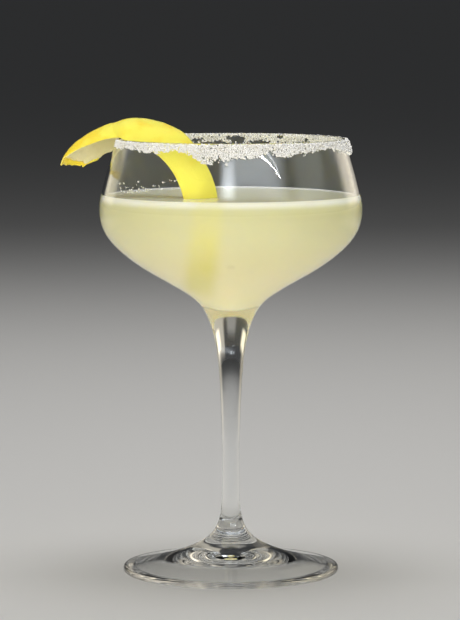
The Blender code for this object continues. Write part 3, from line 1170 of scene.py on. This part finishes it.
@dataclass
class SugarRim:
    """The sugared rim: crystals outside the bowl under the bare lip, ragged below and open at the peel.

    Its lower edge is given as angles from +X in degrees and how far below the rim it lies there.
    """

    place: Standing
    glass: CoupeGlass
    crystals: GrowthTree
    finish: SugarCrystal = SugarCrystal()
    edge: Pairs = (
        (-169, 3.0), (-147, 2.6), (-134, 3.6), (-118, 2.7), (-111, 3.4),
        (-104, 6.1), (-96, 5.9), (-80, 5.0), (-71, 3.4), (-66, 4.9), (-58, 4.3),
        (-43, 3.0), (-34, 2.5), (-20, 4.0), (2, 6.0), (24, 4.4),
        (49, 2.7), (72, 3.9), (100, 3.3), (130, 4.2), (158, 3.0),
    )
    gaps: tuple[Patch, ...] = (
        Patch(75, 3.7, 5.0, 1.2), Patch(87, 2.3, 3.4, 1.5), Patch(97, 3.8, 3.0, 0.9),
        Patch(108, 2.5, 3.0, 0.8), Patch(47, 3.6, 4.6, 0.8), Patch(48, 2.2, 0.9, 1.0),
        Patch(64, 1.5, 1.2, 0.8), Patch(-71, 3.6, 1.1, 1.2),
    )
    heaps: tuple[Patch, ...] = (Patch(-105.5, 3.6, 2.6, 1.8), Patch(-3, 3.4, 9.0, 2.2))
    loose: tuple[Patch, ...] = (Patch(-101, 6.7, 2.4, 0.8), Patch(-92, 7.4, 0.4, 0.5))
    raggedness: Pairs = ((0.4, 0.7), (1.3, 0.35))
    top: float = 0.45
    fringe: float = 0.7
    thinning: float = 1.5
    end_fade: float = 1.0
    reach: float = 8.0
    around: int = 900
    step: float = 0.3
    gap_noise: float = 0.9
    loose_noise: float = 0.5
    hole_pitch: float = 1.25
    hole_offset: Triple = (40.0, 0.0, 0.0)
    hole_fade: Pair = (0.16, 0.34)
    near_holes: float = 0.55
    far_holes: float = 0.75
    near_to_far: Pair = (-15.0, 25.0)
    layers: tuple[tuple[str, Mapping[str, Number]], ...] = (
        ("under", {"Spacing": 0.3 * MM, "Grain": 0.48 * MM, "Pile": 0.25 * MM, "Lift": 0.1 * MM, "Seed": 20}),
        ("over", {"Spacing": 0.55 * MM, "Grain": 0.66 * MM, "Pile": 0.45 * MM, "Lift": 0.3 * MM, "Seed": 30}),
    )

    def depth(self, angle: float) -> float:
        """Finds how far below the rim the sugar reaches.

        Args:
            angle: Where on the rim, from +X in degrees, from -180 to 180.

        Returns:
            The depth in millimetres, which is 0 where the peel crosses the rim.
        """
        for (one, depth), (other, after) in zip(self.edge, self.edge[1:]):
            if one <= angle <= other:
                return depth + (after - depth) * (angle - one) / (other - one)
        return 0.0

    def cover(self, angle: float, point: Vector) -> float:
        """Finds how thickly the sugar lies at a point.

        Args:
            angle: Where on the rim, from +X in degrees, from -180 to 180.
            point: The place in millimetres about the axis.

        Returns:
            From 0, bare, to 1, thick, and more on a heap.
        """
        below = self.glass.rim - point.z
        radius = math.hypot(point.x, point.y)
        ragged = layered(point, self.raggedness)
        first, last = self.edge[0][0], self.edge[-1][0]
        starts = ease(first - self.end_fade, first + self.end_fade, angle)
        ends = ease(last + self.end_fade, last - self.end_fade, angle)
        depth = self.depth(angle) + ragged
        kept = ease(depth + self.fringe, depth - self.fringe, below) ** self.thinning * (starts * ends)
        far = ease(*self.near_to_far, angle)
        holes = ease(*self.hole_fade, noise.noise(point * self.hole_pitch + Vector(self.hole_offset)))
        kept *= 1 - holes * (self.near_holes + (self.far_holes - self.near_holes) * far)
        for gap in self.gaps:
            kept *= 1 - gap.share(angle, radius, below, ragged * self.gap_noise)
        for clump in self.loose:
            kept = max(kept, clump.share(angle, radius, below, ragged * self.loose_noise))
        for heap in self.heaps:
            kept *= 1 + heap.share(angle, radius, below, ragged)
        return kept

    def band(self) -> Mesh:
        """Builds the surface that the crystals are strewn over, with its "cover" attribute.

        Returns:
            The surface, in metres in the frame.
        """
        top = self.glass.rim - self.top
        heights = [top - self.step * number for number in range(int(self.reach / self.step) + 1)]
        section = [(self.glass.outside.radius(height), height) for height in heights]
        points, cover = [], []
        for step in range(self.around):
            angle = math.tau * step / self.around - math.pi
            for radius, height in section:
                at = Vector((radius * math.cos(angle), radius * math.sin(angle), height))
                points.append(self.place.put(*at))
                cover.append(self.cover(math.degrees(angle), at))
        mesh = new_mesh("sugar_band", points, lattice(self.around, len(section), True, False))
        add_attribute(mesh, "cover", cover)
        return mesh

    def build(self) -> list[Object]:
        """Builds two layers: small grains that cling to the glass, and larger ones on top.

        Returns:
            The pieces.
        """
        material = self.finish.build()
        pieces = []
        for layer, sizes in self.layers:
            piece = self.crystals.grow(f"sugar_{layer}", self.band(), material, **sizes)
            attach(piece, BODY)
            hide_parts("sugar_rim")
            pieces.append(piece)
        return pieces


# ---- the studio


class Role(Enum):
    """What a lamp does: it lights matt surfaces, or it shows in glass."""

    LIGHT = (True, False)
    MIRRORED = (False, True)


@dataclass(frozen=True)
class Softbox:
    """One soft rectangular lamp, hung between the middles of its two short sides."""

    name: str
    left: Triple
    right: Triple
    height: float
    glow: float
    colour: Triple = (1.0, 1.0, 1.0)
    feather: float = 0.0
    spread: float = 180.0
    target: Triple = (0.0, 0.0, 0.13)

    def build(self, axis: Vector, role: Role) -> None:
        """Hangs the lamp and points it at its target.

        Args:
            axis: The foot of the glass, which the lamp's places are counted from.
            role: What the lamp does.
        """
        left, right = Vector(self.left), Vector(self.right)
        light = bpy.data.lights.new(self.name, "AREA")
        light.shape = "RECTANGLE"
        light.size = (right - left).length
        light.size_y = self.height
        light.energy = self.glow * math.pi * light.size * light.size_y
        light.color = self.colour
        light.spread = math.radians(self.spread)
        if self.feather:
            self.soften(light)
        lamp = new_object(self.name, light)
        middle = (left + right) / 2
        across = (right - left).normalized()
        away = middle - Vector(self.target)
        away = (away - across * away.dot(across)).normalized()
        turn = Matrix((across, away.cross(across), away)).transposed()
        lamp.matrix_world = Matrix.Translation(axis + middle) @ turn.to_4x4()
        lamp.visible_camera = False
        lamp.visible_diffuse, lamp.visible_glossy = role.value
        lamp.visible_transmission = lamp.visible_glossy

    def soften(self, light: AreaLight) -> None:
        """Fades the lamp towards its edges, over a share of its width and height.

        Args:
            light: The lamp's light.
        """
        light.use_nodes = True
        wire = Wiring(light.node_tree)
        place = wire.split(wire.add("ShaderNodeNewGeometry")["Parametric"])
        fades = []
        for axis in "XY":
            off = wire.math("ABSOLUTE", wire.math("SUBTRACT", place[axis], 0.5))
            fades.append(wire.spread(off, 0.5, 0.5 - self.feather))
        wire.feed(light.node_tree.nodes["Emission"], {"Strength": wire.product(*fades)})


@dataclass
class Studio:
    """A plain pale floor, soft lamps, a dim room and the camera."""

    place: Standing
    floor_size: float = 90.0
    floor_drop: float = 0.15 * MM
    floor_colour: Colour = (0.66, 0.65, 0.63, 1.0)
    room_colour: Colour = (0.5, 0.52, 0.55, 1.0)
    room_strength: float = 0.07
    bounces: int = 24
    glossy_bounces: int = 12
    camera_back: float = 1.2534
    camera_height: float = 0.2222
    camera_side: float = -0.3 * MM
    camera_dip: float = 5.654
    focal_pixels: float = 3386.0
    picture_height: float = 620.0
    sensor: float = 36.0
    clip: Pair = (0.01, 200.0)
    lights: tuple[Softbox, ...] = (
        Softbox("key", (-1.1, -0.7, 0.16), (-0.35, -1.2, 0.16), 0.6, 3.3, (1.0, 0.98, 0.94), spread=120.0),
        Softbox("fill", (0.4, -1.2, 0.12), (1.1, -0.65, 0.12), 0.6, 2.6, (0.97, 0.98, 1.0), spread=120.0),
        Softbox("top", (-0.45, 0.05, 1.2), (0.45, 0.05, 1.2), 0.7, 4.3),
        Softbox("back", (-0.6, 0.9, 0.95), (0.6, 0.9, 0.95), 0.5, 1.8),
        Softbox("bounce", (-0.12, 0.0, 0.02), (0.12, 0.0, 0.02), 0.24, 0.42, (1.0, 0.97, 0.9)),
    )
    mirrored: tuple[Softbox, ...] = (
        Softbox("behind", (0.22, 1.06, 0.46), (1.0, 0.5, 0.46), 0.84, 0.44, (1.0, 0.92, 0.76), 0.15),
        Softbox("middle", (-0.26, 1.1, 0.58), (0.22, 1.1, 0.58), 0.8, 0.22, (1.0, 0.96, 0.88), 0.3),
        Softbox("window", (-0.26, -1.06, 0.7), (0.98, -0.6, 0.62), 0.34, 3.4, (0.86, 0.93, 1.0), 0.35),
        Softbox("glare", (-0.24, -1.06, 0.66), (0.14, -1.08, 0.66), 0.22, 9.0, (0.88, 0.94, 1.0), 0.5),
        Softbox("side", (0.95, -0.62, 0.6), (1.1, 0.3, 0.6), 0.5, 0.7, (0.95, 1.0, 0.92), 0.3),
        Softbox("tube", (0.131, -0.302, 0.316), (0.428, -0.39, 0.404), 0.0022, 45.0),
        Softbox("left_card", (-0.95, 0.55, 0.3), (-0.45, 0.98, 0.3), 0.35, 1.2, (1.0, 0.9, 0.65), 0.3),
        Softbox("right_card", (0.45, 0.98, 0.3), (0.95, 0.55, 0.3), 0.35, 1.0, (1.0, 0.88, 0.7), 0.3),
        Softbox("left_stem", (-0.5, 0.12, 0.08), (-0.24, 0.4, 0.08), 0.2, 0.34, (1.0, 0.88, 0.66), 0.35),
        Softbox("right_stem", (0.24, 0.4, 0.08), (0.5, 0.12, 0.08), 0.2, 0.4, (1.0, 0.9, 0.72), 0.35),
    )

    def build(self) -> None:
        """Builds the floor, the lamps, the room's light and the camera."""
        self.build_floor()
        for role, lamps in ((Role.LIGHT, self.lights), (Role.MIRRORED, self.mirrored)):
            for lamp in lamps:
                lamp.build(self.place.axis, role)
        world = bpy.data.worlds.new("room")
        world.use_nodes = True
        feeds = {"Color": self.room_colour, "Strength": self.room_strength}
        Wiring(world.node_tree).feed(world.node_tree.nodes["Background"], feeds)
        scene = bpy.context.scene
        scene.world = world
        scene.view_settings.view_transform = "Standard"
        scene.cycles.max_bounces = self.bounces
        scene.cycles.transmission_bounces = self.bounces
        scene.cycles.glossy_bounces = self.glossy_bounces
        self.build_camera()

    def build_floor(self) -> None:
        """Lays the floor just under the foot."""
        half = self.floor_size / 2
        height = self.place.axis.z - self.floor_drop
        corners = [(x * half, y * half, height) for x, y in ((-1, -1), (1, -1), (1, 1), (-1, 1))]
        mesh = new_mesh("floor", corners, [(0, 1, 2, 3)])
        material, _, _ = principled("floor_paint", Base_Color=self.floor_colour, Roughness=0.55)
        mesh.materials.append(material)
        new_object("floor", mesh)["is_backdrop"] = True

    def build_camera(self) -> None:
        """Sets the camera up in front of the glass, a little above its rim and looking slightly down."""
        camera = new_object("camera", bpy.data.cameras.new("camera"))
        axis = self.place.axis
        camera.location = (axis.x + self.camera_side, axis.y - self.camera_back, axis.z + self.camera_height)
        camera.rotation_euler = (math.radians(90 - self.camera_dip), 0.0, 0.0)
        camera.data.sensor_width = self.sensor
        camera.data.lens = self.focal_pixels / self.picture_height * self.sensor
        camera.data.clip_start, camera.data.clip_end = self.clip
        bpy.context.scene.camera = camera


def report(pieces: Iterable[Object]) -> None:
    """Logs each piece with its number of faces.

    Args:
        pieces: The pieces that have just been built.
    """
    for piece in pieces:
        LOG.info("%s: %d faces", piece.name, len(piece.data.polygons))


def write_sizes() -> None:
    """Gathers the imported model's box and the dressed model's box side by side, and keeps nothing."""
    boxes = {"cad": CAD_BOX, "visual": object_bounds()}
    {name: [[float(v) for v in corner] for corner in box] for name, box in boxes.items()}


def main() -> None:
    """Builds the cocktail and the studio around it."""
    logging.basicConfig(level=logging.INFO, format="%(message)s")
    place = Standing.read(LemonDrink.meniscus * MM)
    Studio(place).build()
    turning = turning_tree()
    glass = CoupeGlass(place, turning)
    drink = LemonDrink(place, turning, glass)
    report([glass.build(), drink.build(), EdgeBubbles(drink, bead_tree()).build(), LemonPeel(place).build()])
    report(SugarRim(place, glass, crystal_tree()).build())
    write_sizes()


if __name__ == "__main__":
    main()
